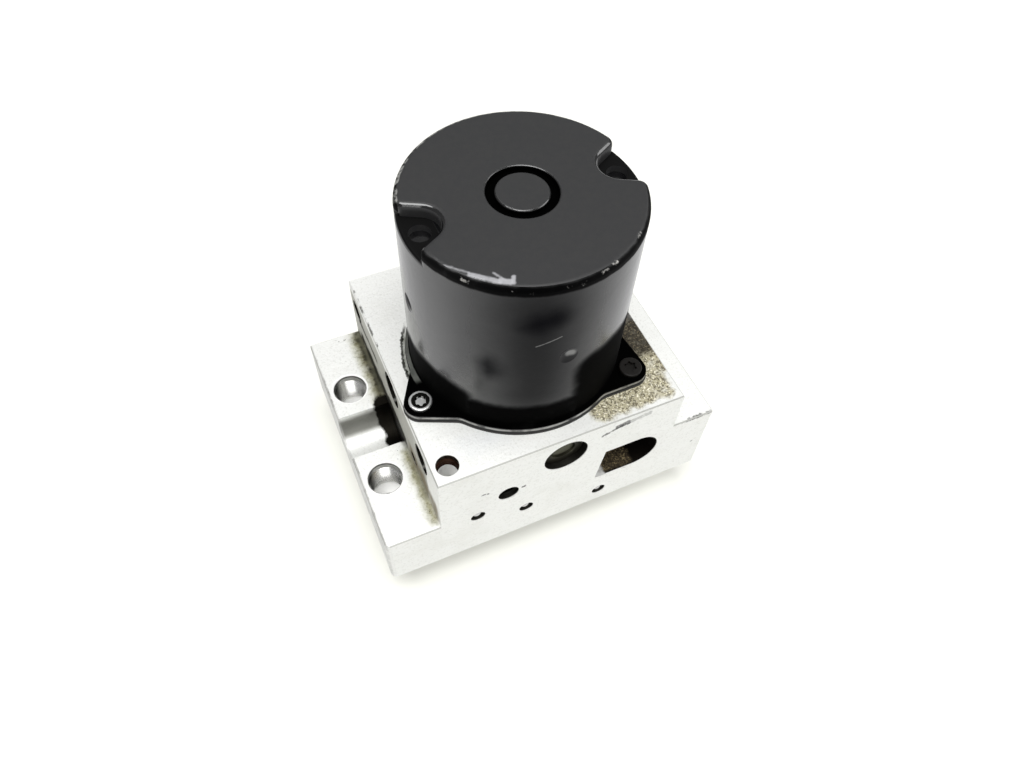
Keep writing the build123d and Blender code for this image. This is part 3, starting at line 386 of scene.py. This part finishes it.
# painted shade over the left face, mottled grey, and the top fixing hole brown under its mouth
left_face_shade = paint.patch((left_face, 0.0, 28.0), (0.7, 46.0, 14.4), 0.3)
left_face_shade = paint.times(left_face_shade, paint.noise(220, 0.2, 0.8))
paint.layer(left_face_shade, (0.44, 0.44, 0.42), 0.4, 0.6, strength=0.75)
paint.layer(paint.patch((*top_fixing, 69.2), (4.3, 4.3, 2.1), 0.1), (0.05, 0.03, 0.02), 1.0, 0.5)

# scuffs under the front face's upper edge and on the right step's, and small chips elsewhere
for x, z, long, wide, tilt, strength in (
    (19.5, 66.2, 4.4, 0.5, 20, 0.8), (22.8, 67.6, 2.8, 1.3, 12, 0.75), (28.8, 68.4, 4.6, 1.0, 8, 0.35),
    (-27.5, 54.6, 0.8, 0.3, 10, 0.95), (-25.9, 54.2, 0.4, 0.3, 0, 0.9), (-12.8, 49.8, 0.7, 0.5, 0, 0.95),
    (57.5, 34.0, 0.5, 0.4, 0, 0.8), (56.2, 51.7, 2.8, 0.35, 0, 0.95), (51.6, 51.5, 2.4, 0.2, 0, 0.8),
    (55.0, 51.9, 3.4, 0.5, 0, 0.6), (60.8, 51.8, 1.2, 0.4, 0, 0.7),
):
    scuff = paint.patch((x, front_face, z), (long, 0.9, wide), 0.3, 1.8, 900, 0, tilt)
    paint.layer(scuff, (0.05, 0.05, 0.045), 0.8, 0.6, strength)
for y, z in ((13.9, 17.2), (42.1, 16.5), (41.0, 19.0)):
    chip = paint.patch((left_face, y, z), (0.6, 1.6, 0.5), 0.5, 1.6, 900)
    paint.layer(chip, (0.25, 0.25, 0.24), 0.6, 0.6, strength=0.8)
paint.bump(paint.noise(700, 0.3, 0.7, stretch=(1, 1, 6)), 0.12, 0.0004)
paint.done()
finish_node("valve_block", block_metal)

# painted shade on the outer chamfers, which draws them as darker lines, but not where grease covers them
block = nodes["valve_block"]
block.data.materials.append(material("block_edge_shade", (0.56, 0.56, 0.53), 0.6, 0.45))
outer_planes = (
    (left_face, left_riser, right_riser, right_face),
    (front_face, rear_face),
    (left_step, right_step, platform),
)
chamfer_reach = 0.35
for face in block.data.polygons:
    slants = sorted(abs(part) for part in face.normal)
    outer = sum(
        any(abs(part / MM - plane) < chamfer_reach for plane in planes)
        for part, planes in zip(face.center, outer_planes)
    )
    in_grease = face.center.x < -40 * MM and -12 * MM < face.center.y < 18 * MM
    if slants[0] < 0.05 and slants[1] > 0.65 and outer > 1 and not in_grease:
        face.material_index = 1

# ------------------------------------------------------------------ threads
# Cut threads in the two pipe ports, the four wheel ports and the two fixing holes. Each is one
# helical ridge that starts just under the hole's mouth and runs nearly to its bottom.
thread_steps = 48
bite = 0.02                                  # how far the ridge's root lies inside the hole's wall


def thread(name, radius, depth, pitch, start, length, place, metal):
    """A helical ridge on the wall of a hole whose mouth is at the origin, opening upwards."""
    bm = bmesh.new()
    root, crest = radius + bite, radius - depth
    profile = [(root, 0.0), (crest, pitch * 0.44), (crest, pitch * 0.56), (root, pitch)]
    verts = [bm.verts.new((x * MM, 0, (z - start - length) * MM)) for x, z in profile]
    edges = [bm.edges.new(pair) for pair in zip(verts, verts[1:])]
    turns = int(length / pitch) - 1
    bmesh.ops.spin(
        bm, geom=verts + edges, cent=(0, 0, 0), axis=(0, 0, 1), dvec=(0, 0, pitch * MM / thread_steps),
        angle=math.tau * turns, steps=thread_steps * turns, use_merge=False, use_duplicate=False,
    )
    bmesh.ops.remove_doubles(bm, verts=bm.verts, dist=0.00001)
    bmesh.ops.recalc_face_normals(bm, faces=bm.faces)
    bm.transform(place)
    mesh = bpy.data.meshes.new(name)
    bm.to_mesh(mesh)
    bm.free()
    mesh.shade_smooth()
    mesh.set_sharp_from_angle(angle=smooth_angle)
    obj = bpy.data.objects.new(name, mesh)
    bpy.context.scene.collection.objects.link(obj)
    mesh.materials.append(metal)
    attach(obj, "housing")
    return obj


def opening_at(x, y, z, tip=0.0):
    """A hole's mouth, which opens upwards, or to the front at a tip of 90 degrees and the rear at -90."""
    return Matrix.Translation(Vector((x, y, z)) * MM) @ Matrix.Rotation(math.radians(tip), 4, "X")


thread_metal = material("thread_metal", (0.86, 0.86, 0.84), 1.0, 0.25)
paint = Paint(thread_metal)
# painted shade in a crescent on each port's thread
for x, y in ports:
    crescent = paint.patch((x - 5.4, y + 3.2, 36.0), (2.0, 2.8, 6.6), 1.4, 0.6, 600)
    paint.layer(crescent, (0.03, 0.03, 0.025), 1.0, 0.35, strength=0.92)
paint.done()
for label, port in zip(("front", "rear"), ports):
    thread(f"port_thread_{label}", 6.0, 0.5, 1.0, 1.7, 11.8, opening_at(*port, left_step), thread_metal)
for number, x in enumerate((-28.5, -12.5, 19.5, 35.5), start=1):
    place = opening_at(x, rear_face, 57.5, -90)
    thread(f"wheel_thread_{number}", 5.0, 0.5, 1.0, 0.6, 11.0, place, thread_metal)
# the front fixing hole's thread is painted near-black as painted shade
shaded_thread = material("shaded_thread", (0.014, 0.014, 0.012), 1.0, 0.5)
place = opening_at(front_fixing[0], front_face, front_fixing[1], 90)
thread("front_fixing_thread", 3.8, 0.45, 1.25, 0.6, 14.5, place, shaded_thread)
# the top fixing hole's thread is painted white as painted light
lit_thread = material("lit_thread", lit_white, 0.0, 0.6)
place = opening_at(*top_fixing, platform)
upper = thread("top_fixing_thread", 3.8, 0.45, 1.25, 1.0, 14.0, place, lit_thread)
upper.data.materials.append(material("rusty_thread", (0.06, 0.03, 0.02), 1.0, 0.5))
rust_depth = 5.3
for face in upper.data.polygons:
    if face.center.z > (platform - rust_depth) * MM:
        face.material_index = 1

# ------------------------------------------------------------------ bore plugs and pump caps
# Pressed steel balls and discs that close the drillings, and the two olive passivated caps that
# close the pump bores.
finish_node("bore_plugs", material("plug_steel", (0.60, 0.60, 0.58), 1.0, 0.18))
plugs = nodes["bore_plugs"]
# the plugs recessed in the riser's bores are painted near-black: painted shade in the recesses
plugs.data.materials.append(material("plug_shade", (0.015, 0.014, 0.011), 1.0, 0.6))
for face in plugs.data.polygons:
    if -44 * MM < face.center.x < -34 * MM and face.center.y > -43 * MM:
        face.material_index = 1
# the caps are painted near-black as shade in the pump bores, with their own dark olive in the middle
cap_shade_and_olive = material("cap_shade_and_olive", (0.03, 0.028, 0.018), 0.8, 0.45)
paint = Paint(cap_shade_and_olive)
for y in (-43.0, 43.0):
    middle = paint.patch((pump_bore[0], y, pump_bore[1]), (3.7, 6.0, 3.7), 1.2, 1.5, 400)
    paint.layer(middle, (0.10, 0.10, 0.065), 0.3, 0.6, strength=0.9)
paint.done()
finish_node("pump_caps", cap_shade_and_olive)

# ------------------------------------------------------------------ motor can
# Deep-drawn steel cup in glossy black paint. Its end face is duller than its side, and the edge
# between them is scratched and chipped towards the front.
can_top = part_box("motor_can")[1][2] / MM
flange_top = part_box("motor_gasket")[1][2] / MM + 2.6
stake_height = 109.4
gloss_black = (0.001, 0.001, 0.0015)
dead_black = (0.001, 0.001, 0.001)
reflection_black = (0.0006, 0.0006, 0.0006)


def build_shared_mark(name, draw):
    """A group that holds the mask that draw makes, for a mark that two paints share: wear, painted shade or
    painted highlight.
    """
    tree, given, mask = new_group(name, [("Position", "Vector")])
    tree.links.new(draw(Masks(tree, given["Position"])), mask)
    return tree


# painted shade in the pressed ring round the middle of the end face
def ring_groove_shade(masks):
    below_end_face = masks.patch((0, 0, can_top - 4.8), (60, 60, 4.65), 0.15)
    return masks.times(below_end_face, masks.rim(8.0, 10.5, 0.3, 0.2, 500))


def edge_chips(masks):
    """The chips along the can's upper edge, each with how far under the end face it lies."""
    chips = 0.0
    for x, y, drop, long, wide, turn in (
        (-25.0, -26.6, 1.2, 1.2, 0.4, -42), (-14.6, -34.4, 1.6, 0.9, 0.3, -27),
        (-10.6, -36.2, 1.8, 0.6, 0.3, -20), (-1.0, -38.3, 1.4, 0.7, 0.25, -5),
        (3.3, -38.5, 1.6, 1.0, 0.25, 2), (9.6, -37.4, 0.9, 1.3, 0.25, 11),
        (13.4, -36.2, 0.6, 0.9, 0.3, 18), (24.0, -29.8, 0.4, 1.0, 0.25, 38),
    ):
        chip = masks.patch((x, y, can_top - drop), (long, wide, 0.35), 0.3, 1.6, 1500, turn)
        chips = masks.either(chip, chips)
    return chips


# flecks of painted highlight on the rounded back edge of the end face
def back_edge_highlight(masks):
    highlight = masks.patch((-8.0, 16.0, can_top - 0.2), (36.0, 26.0, 0.9), 0.6, 0.8, 200)
    highlight = masks.times(highlight, masks.rim(34.9, 36.6, 0.3, 0.8, 500))
    return masks.times(highlight, masks.noise(420, 0.40, 0.58))


ring_groove_shade_mask = build_shared_mark("ring_groove_shade", ring_groove_shade)
edge_chips_mask = build_shared_mark("edge_chips", edge_chips)
back_edge_highlight_mask = build_shared_mark("back_edge_highlight", back_edge_highlight)


def end_wear_and_shading(paint):
    """Painted shade in the end face's pressed ring, chips along its edge, and flecks of painted highlight
    round its back edge.
    """
    paint.layer(paint.placed(ring_groove_shade_mask, []), dead_black, 1.0, 0.8)
    paint.layer(paint.placed(edge_chips_mask, []), (0.40, 0.39, 0.37), 0.5, 0.45, strength=0.85)
    paint.layer(paint.placed(back_edge_highlight_mask, []), (0.42, 0.42, 0.40), 0.4, 0.45, strength=0.8)


# painted dark reflection over the front of the side, darkest in two places; then a fine oblique scratch,
# painted highlights in three of the stakes and painted shade in the fourth
can_side = material("can_side", gloss_black, 0.0, 0.15)
paint = Paint(can_side)
paint.shader.inputs["IOR"].default_value = 1.85
front_dark_reflection = paint.patch((-7.5, -37.0, 112.0), (15.0, 16.0, 34.0), 15.0, 4.0, 100)
paint.layer(front_dark_reflection, gloss_black, 1.0, 0.6, strength=0.85)
# two patches of painted dark reflection, darker still
for centre, half, tilt in (
    ((-20.5, -33.0, 104.7), (2.4, 4.4, 5.2), 0), ((-6.0, -37.0, 127.0), (6.5, 5.0, 3.6), 20),
):
    dark_reflection = paint.patch(centre, half, 4.5, 5.0, 110, 0, tilt)
    paint.layer(dark_reflection, (0.001, 0.001, 0.003), 1.0, 0.8, strength=0.85)
scratch = paint.patch((-5.0, -37.5, 117.9), (4.0, 3.0, 0.17), 0.2, 0.3, 900, 0, 22)
paint.layer(scratch, (0.22, 0.22, 0.215), 0.6, 0.4, strength=0.7)
# a light grey patch in three of the stakes: painted highlight
for x, y, drop in ((2.5, -38.4, 0.2), (37.3, motor_axis[1], 0), (motor_axis[0], 32.5, 0)):
    stake_highlight = paint.patch((x, y, stake_height - drop), (1.5, 1.9, 1.3), 0.6, 0.8, 700, corner=1.2)
    paint.layer(stake_highlight, (0.26, 0.26, 0.255), 0.5, 0.5, strength=0.8)
# the fourth stake painted dead black: painted shade
stake_shade = paint.patch((-34.4, motor_axis[1], stake_height), (3.0, 2.7, 2.7), 0.3, corner=2.4)
paint.layer(stake_shade, dead_black, 0.0, 0.9)

# painted dark reflection low on the side and higher up over each ear, where the side mirrors the black
# flange and ears; painted shade on the rounded top edge and on the pocket floors; and the flange's lip is
# rubbed grey at the left
low_dark_reflection = paint.patch((*motor_axis, 74.0), (60.0, 60.0, 11.6), 2.0, 5.0, 90)
for centre, half in (
    ((-35.0, -14.0, 76.0), (11.0, 17.0, 14.0)), ((25.5, -25.0, 78.0), (20.0, 20.0, 26.5)),
    ((9.0, 32.0, 76.0), (16.0, 12.0, 18.0)),
):
    low_dark_reflection = paint.either(low_dark_reflection, paint.patch(centre, half, 2.4, 5.0, 80, corner=5.0))
paint.layer(low_dark_reflection, reflection_black, 1.0, 1.0, strength=0.98)
# painted shade on the rounded top edge
top_edge_shade = paint.patch((0, 0, can_top - 1.6), (60, 60, 1.5), 0.5, 0.8, 300)
top_edge_shade = paint.times(paint.rim(34.9, 37.5, 0.3, 0.2, 300), top_edge_shade)
paint.layer(top_edge_shade, (0.0006, 0.0006, 0.0008), 1.0, 0.9, strength=0.9)
# painted shade on the pocket floors
for side in (-32.0, 32.0):
    pocket_shade = paint.patch((motor_axis[0] + side, motor_axis[1], can_top - 3.9), (6.0, 10.0, 0.7), 0.1)
    paint.layer(pocket_shade, (0.012, 0.012, 0.012), 1.0, 0.6)
lip = paint.patch((-36.5, 8.0, 74.0), (5.0, 16.0, 1.6), 1.5, 2.0)
lip = paint.times(paint.rim(36.6, 38.2, 0.3, 0.5, 500), lip)
paint.layer(lip, (0.16, 0.17, 0.15), 0.2, 0.7, strength=0.7)
end_wear_and_shading(paint)
paint.bump(paint.noise(260, 0.2, 0.8), 0.04, 0.0006)
paint.done()

# the end face: faintly mottled, with a wide gouge at the front left
can_end = material("can_end", (0.027, 0.027, 0.0275), 0.0, 0.5, 0.4)
paint = Paint(can_end)
paint.layer(paint.noise(500, 0.35, 0.65), (0.020, 0.021, 0.023), strength=0.35)
for x, y, long, wide, turn, strength in (
    (-25.5, -23.6, 4.4, 0.22, -44, 0.6), (-20.5, -28.6, 4.6, 0.7, -40, 0.75),
    (-16.0, -31.6, 1.8, 0.9, -32, 0.8), (-16.8, -29.6, 2.2, 0.25, -62, 0.75),
    (-13.9, -31.9, 0.5, 1.5, -25, 0.8),
):
    gouge = paint.patch((x, y, can_top), (long, wide, 1.0), 0.4, 0.9, 700, turn)
    paint.layer(gouge, (0.46, 0.46, 0.48), 0.2, 0.5, strength)
end_wear_and_shading(paint)
paint.bump(paint.noise(2200, 0.2, 0.8), 0.10, 0.0003)
paint.done()

# the flange's cut edge: black, with a thin worn line just under its upper edge
cut_edge = material("cut_edge", (0.012, 0.012, 0.012), 0.0, 0.6)
paint = Paint(cut_edge)
worn_line = paint.patch((0, 0, flange_top - 1.2), (60, 60, 0.45), 0.3, 0.9, 260)
worn_line = paint.times(worn_line, paint.noise(160, 0.32, 0.55))
paint.layer(worn_line, (0.48, 0.48, 0.46), 0.3, 0.5, strength=0.8)
paint.done()
finish_node("motor_can", can_side)
can = nodes["motor_can"]
can.data.materials.append(can_end)
can.data.materials.append(cut_edge)
for face in can.data.polygons:
    x, y, z = (place / MM for place in face.center)
    reach = math.hypot(x - motor_axis[0], y - motor_axis[1])
    end_face = face.normal.z > 0.9 and z > can_top - 1.6
    # the pocket walls take the end face's lighter grey as a painted highlight
    pocket_wall = abs(face.normal.z) < 0.5 and z > can_top - 6.5 and 20 < reach < 34.6
    if end_face or pocket_wall:
        face.material_index = 1
    elif abs(face.normal.z) < 0.3 and z < flange_top - 0.4 and reach > 36.2:
        face.material_index = 2

# ------------------------------------------------------------------ motor gasket
# Thin dark sheet between the can's flange and the block, cut to the flange's outline. It shows as a
# fine line under the flange.
finish_node("motor_gasket", material("gasket_grey", (0.03, 0.03, 0.028), 0.0, 0.8))

# ------------------------------------------------------------------ motor screws
# Star-socket screws in bright zinc, with a black ring round each socket. The one at the front right was
# painted over with the can.
ear_circle = 41.2
screw_zinc = material("screw_zinc", (0.80, 0.81, 0.80), 0.9, 0.3)
paint = Paint(screw_zinc)
for angle in (-161.5, -41.5, 78.5):
    bearing = math.radians(angle)
    screw = (motor_axis[0] + ear_circle * math.cos(bearing), motor_axis[1] + ear_circle * math.sin(bearing))
    paint.layer(paint.rim(1.75, 2.95, 0.2, 0.4, 900, screw), (0.008, 0.008, 0.007), 1.0, 0.6)
paint.done()
finish_node("motor_screws", screw_zinc)
screws = nodes["motor_screws"]
screws.data.materials.append(material("screw_paint", (0.006, 0.005, 0.004), 0.0, 0.5, 0.25))
for face in screws.data.polygons:
    if face.center.x > 20 * MM and face.center.y < -20 * MM:
        face.material_index = 1

# ------------------------------------------------------------------ valves, under the block
# Turned steel seat bodies with thin welded dome tubes, which the unit stands on here. A ground
# steel plunger slides in each tube.
turned_steel = material("turned_steel", (0.60, 0.61, 0.62), 1.0, 0.28)
ground_steel = material("ground_steel", (0.55, 0.56, 0.58), 1.0, 0.22)
for name in nodes:
    if name.endswith(("valve_bodies", "valve_domes")):
        finish_node(name, turned_steel)
    elif "plunger" in name:
        finish_node(name, ground_steel)

# ------------------------------------------------------------------ coil springs
# Hard-drawn steel wire springs behind every piston, brush and plunger, each drawn as a copy of its CAD
# node.


def coil_spring(name, axis, fixed_place):
    """A copy of the spring's CAD node, which hides the node; the axis and fixed end that it works out from
    axis and fixed_place are not used.
    """
    bm = bmesh.new()
    bm.from_mesh(nodes[name].data)
    bmesh.ops.remove_doubles(bm, verts=bm.verts, dist=0.000001)
    mesh = bpy.data.meshes.new(name + "_coil")
    bm.to_mesh(mesh)
    bm.free()
    mesh.shade_smooth()
    mesh.materials.append(ground_steel)
    coil = bpy.data.objects.new(name + "_coil", mesh)
    bpy.context.scene.collection.objects.link(coil)
    along, fixed_end = [0.0, 0.0, 0.0], [0.0, 0.0, 0.0]
    along["xyz".index(axis)] = 1.0
    fixed_end["xyz".index(axis)] = fixed_place
    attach(coil, "housing")
    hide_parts(name)
    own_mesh(coil)


for joint in frame["joints"]:
    for entry in joint.get("deforming_nodes", []):
        axis = entry["mode"][-1]
        coil_spring(entry["node"], axis, entry[f"fixed_end_{axis}_m"])

# ------------------------------------------------------------------ accumulators
# Cup pistons of the block's own alloy in the right-hand side, behind plated covers, with black
# rubber seals. The pump's seals are of the same rubber.
zinc = material("zinc", (0.80, 0.81, 0.82), 1.0, 0.25)
black_rubber = material("black_rubber", (0.02, 0.02, 0.02), 0.0, 0.6)
cup_metal = material("cup_metal", (0.74, 0.75, 0.74), 1.0, 0.35)
finish_node("accumulator_covers", zinc)
finish_node("accumulator_seals", black_rubber)
finish_node("pump_seals", black_rubber)
finish_node("accumulator_piston_front", cup_metal)
finish_node("accumulator_piston_rear", cup_metal)

# ------------------------------------------------------------------ inside of the motor and the pump
# Everything that turns, bears, pumps or carries current behind the can and in the block: ground
# steel, a laminated core in enamelled copper, ferrite magnets, and carbon brushes in a moulding.
copper = material("enamelled_copper", (0.62, 0.27, 0.12), 1.0, 0.35)
inner_finishes = (
    (ground_steel, (
        "pump_sleeve_front", "pump_sleeve_rear", "pump_piston_front", "pump_piston_rear",
        "outlet_ball_front", "outlet_ball_rear", "eccentric_rollers", "eccentric_ring", "motor_shaft",
        "bearing_inner_race", "bearing_outer_race", "bearing_balls",
    )),
    (zinc, ("motor_end_plate", "motor_terminals")),
    (material("ferrite_grey", (0.07, 0.07, 0.075), 0.0, 0.6), ("magnets",)),
    (material("sintered_bronze", (0.60, 0.42, 0.24), 1.0, 0.5), ("rear_bush",)),
    (material("sheet_steel", (0.36, 0.37, 0.39), 1.0, 0.4), ("armature_core",)),
    (copper, ("armature_windings", "commutator")),
    (material("moulding_black", (0.03, 0.03, 0.03), 0.0, 0.5), ("brush_holder",)),
    (material("pressed_carbon", (0.06, 0.055, 0.055), 0.1, 0.5), ("brush_front", "brush_rear")),
)
for finish, names in inner_finishes:
    for name in names:
        finish_node(name, finish)

# ------------------------------------------------------------------ floor, light and camera
# White sweep under an even, bright studio light, so the floor shows only the shadow under the
# block. Mirror-like metal shows it as plain white too.
white = (1.0, 1.0, 1.0, 1.0)
floor_mesh = bpy.data.meshes.new("floor")
bm = bmesh.new()
bmesh.ops.create_grid(bm, x_segments=1, y_segments=1, size=3.0)
bm.to_mesh(floor_mesh)
bm.free()
floor = bpy.data.objects.new("floor", floor_mesh)
bpy.context.scene.collection.objects.link(floor)
floor_white = material("floor_white", (0.88, 0.88, 0.83), 0.0, 0.9, 0.1)
tree = floor_white.node_tree
mirrored = node(tree, "ShaderNodeLightPath").outputs["Is Glossy Ray"]
glow = node(tree, "ShaderNodeEmission", [("Color", white), ("Strength", 1.0)])
lit = tree.nodes["Principled BSDF"]
both = node(tree, "ShaderNodeMixShader", [(0, mirrored), (1, lit.outputs[0]), (2, glow.outputs[0])])
tree.links.new(both.outputs[0], tree.nodes["Material Output"].inputs["Surface"])
floor_mesh.materials.append(floor_white)

world = bpy.data.worlds.new("studio")
bpy.context.scene.world = world
world.use_nodes = True
sky = world.node_tree
ambient = sky.nodes["Background"]
ambient.inputs["Color"].default_value = white
ambient.inputs["Strength"].default_value = 0.26
backdrop = node(sky, "ShaderNodeBackground", [("Color", white), ("Strength", 1.0)])
seen = node(sky, "ShaderNodeLightPath").outputs["Is Camera Ray"]
both = node(sky, "ShaderNodeMixShader", [(0, seen), (1, ambient.outputs[0]), (2, backdrop.outputs[0])])
sky.links.new(both.outputs[0], sky.nodes["World Output"].inputs["Surface"])

# three softboxes, in metres and watts, all turned to the middle of the block
middle = Vector((0, 0, 0.05))
for name, place, width, height, power in (
    ("right", (2.6, -0.8, 2.0), 2.4, 2.0, 42.0),
    ("front", (-0.6, -2.8, 2.2), 2.8, 2.0, 30.0),
    ("overhead", (-0.5, -0.2, 3.5), 2.6, 2.6, 120.0),
):
    light = bpy.data.lights.new(name, "AREA")
    light.shape = "RECTANGLE"
    light.size = width
    light.size_y = height
    light.energy = power
    softbox = bpy.data.objects.new(name, light)
    softbox.location = place
    softbox.rotation_euler = (middle - Vector(place)).to_track_quat("-Z", "Y").to_euler()
    bpy.context.scene.collection.objects.link(softbox)

camera_data = bpy.data.cameras.new("camera")
camera_data.sensor_width = 36.0
camera_data.lens = 28.345
camera_data.clip_start = 0.01
camera = bpy.data.objects.new("camera", camera_data)
camera.location = (-0.07464, -0.15564, 0.29559)
camera.rotation_euler = [math.radians(a) for a in (34.26446, -1.94381, -23.80701)]
bpy.context.scene.collection.objects.link(camera)
bpy.context.scene.camera = camera
bpy.context.scene.view_settings.view_transform = "Standard"
